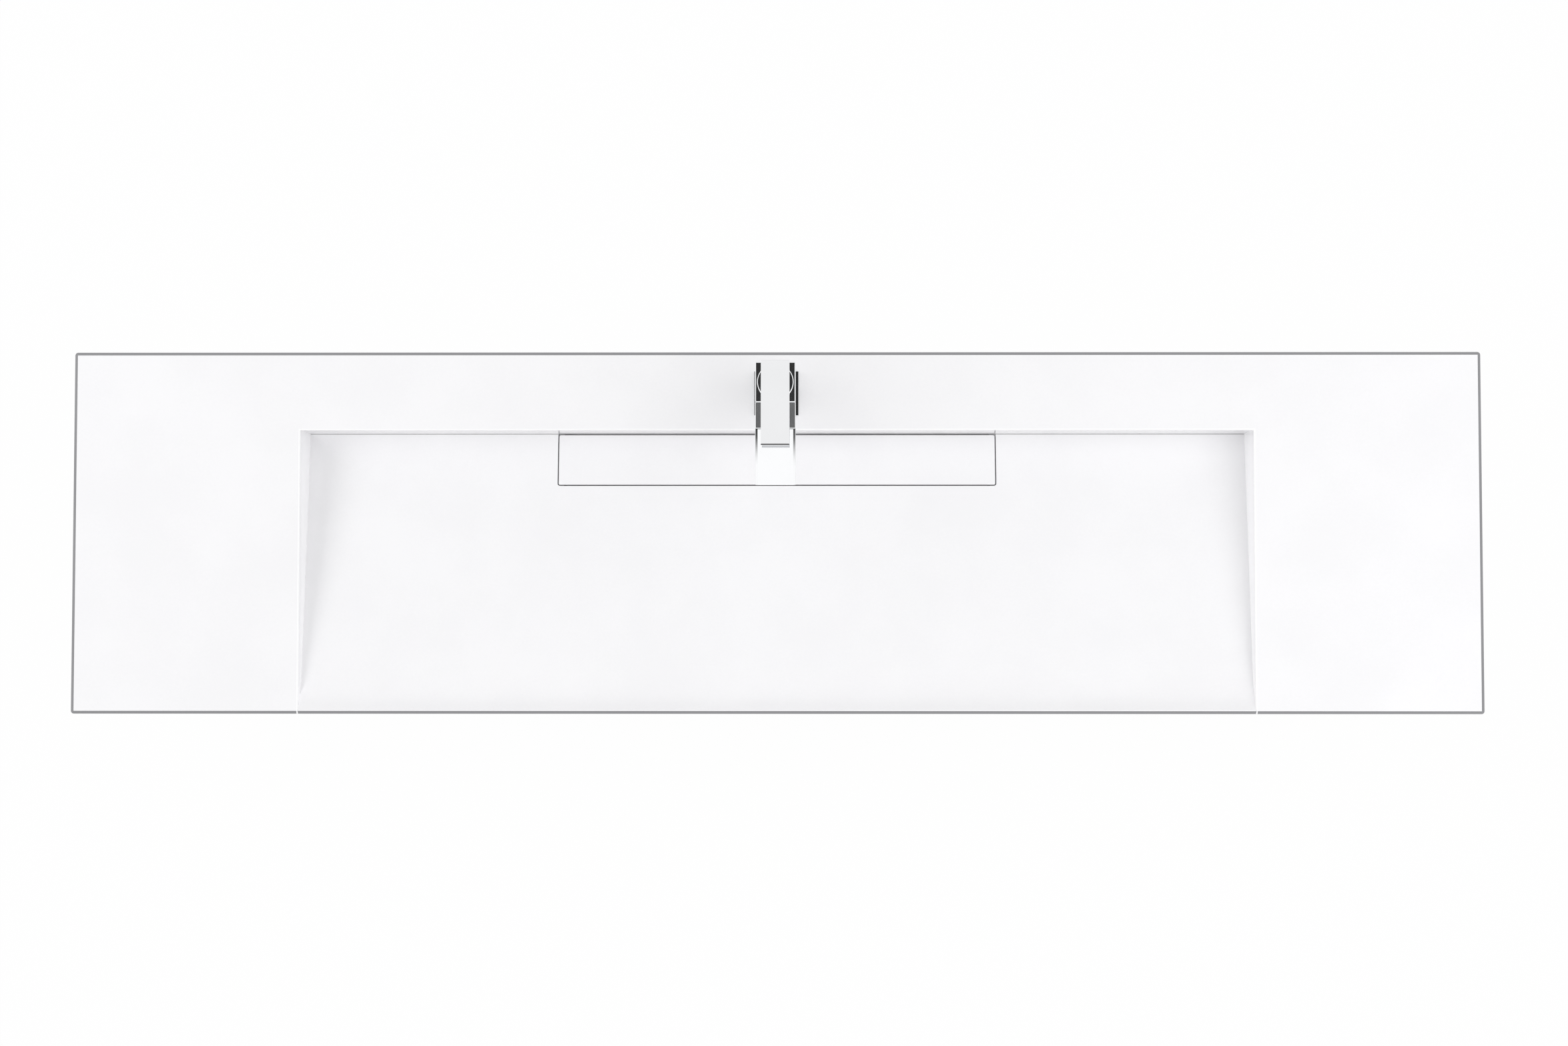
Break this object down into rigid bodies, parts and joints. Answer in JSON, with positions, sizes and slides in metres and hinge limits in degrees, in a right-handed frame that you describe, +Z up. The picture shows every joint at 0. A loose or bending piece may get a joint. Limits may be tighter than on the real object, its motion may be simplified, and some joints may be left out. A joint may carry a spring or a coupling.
{
  "type": "vanity top",
  "caption": "Wide white vanity top with a rectangular ramp basin, a lift-out drain cover over a hidden trough and a square chrome waterfall faucet with a lever on the back deck.",
  "frame": {"origin": "middle of the footprint, on the plane where the top sits on its cabinet", "axes": "+X along the top to the right as seen from the front, +Y to the wall behind it, +Z up"},
  "size_m": [1.83, 0.47, 0.4413],
  "materials": {
    "solid_surface": "polished white acrylic solid surface",
    "cover_surface": "polished white acrylic solid surface",
    "timber": "raw birch plywood",
    "chrome": "polished chrome plate on brass",
    "steel": "brushed stainless steel",
    "brass": "plain turned brass",
    "rubber": "black rubber",
    "plastic": "moulded acetal",
    "ceramic": "lapped ceramic"
  },
  "bodies": {
    "top": {"deck_panel": "solid_surface", "front_apron": "solid_surface", "back_apron": "solid_surface", "left_apron": "solid_surface", "right_apron": "solid_surface", "basin_ramp": "solid_surface", "basin_left_wall": "solid_surface", "basin_right_wall": "solid_surface", "basin_back_wall": "solid_surface", "trough_front_wall": "solid_surface", "trough_left_end": "solid_surface", "trough_right_end": "solid_surface", "trough_floor": "solid_surface", "left_deck_rib": "timber", "right_deck_rib": "timber", "left_ramp_rib": "timber", "middle_ramp_rib": "timber", "right_ramp_rib": "timber", "corner_blocks": "timber", "base_plate": "chrome", "faucet_body": "chrome", "faucet_spout": "chrome", "spout_lid": "chrome", "bonnet_cap": "chrome", "drain_body": "chrome", "drain_locknut": "chrome", "drain_tailpiece": "chrome", "drain_strainer": "steel", "mounting_stud": "steel", "horseshoe_washer": "steel", "hot_inlet_tube": "steel", "cold_inlet_tube": "steel", "threaded_inserts": "brass", "stud_nut": "brass", "drain_top_gasket": "rubber", "drain_under_washer": "rubber", "base_gasket": "rubber", "cartridge_seal": "rubber", "horseshoe_gasket": "rubber", "drain_slip_washer": "plastic", "cartridge_body": "plastic", "fixed_disc": "ceramic"},
    "swivel": {"stem_guide": "plastic", "stem_pin": "steel"},
    "lever": {"lever_handle": "chrome", "lever_stem": "steel", "handle_screw": "steel", "screw_plug": "plastic"},
    "disc": {"moving_disc": "ceramic", "disc_carrier": "plastic"},
    "cover": {"drain_cover": "cover_surface", "cover_pads": "rubber"}
  },
  "joints": [
    {"name": "lever_swivel", "type": "hinge", "parent": "top", "child": "swivel", "pos_m": [0, 0.1805, 0.274], "axis": [0, 0, 1], "range_deg": [-45, 45]},
    {"name": "lever_tilt", "type": "hinge", "parent": "swivel", "child": "lever", "pos_m": [0, 0.1805, 0.274], "axis": [-1, 0, 0], "range_deg": [0, 22]},
    {"name": "disc_slide", "type": "slide", "parent": "swivel", "child": "disc", "axis": [0, -1, 0], "range_m": [0, 0.0034]},
    {"name": "cover_lift", "type": "slide", "parent": "top", "child": "cover", "axis": [0, 0, 1], "range_m": [0, 0.1]}
  ],
  "couplings": [
    {"joint": "disc_slide", "follows": "lever_tilt", "m_per_rad": 0.0088}
  ]
}
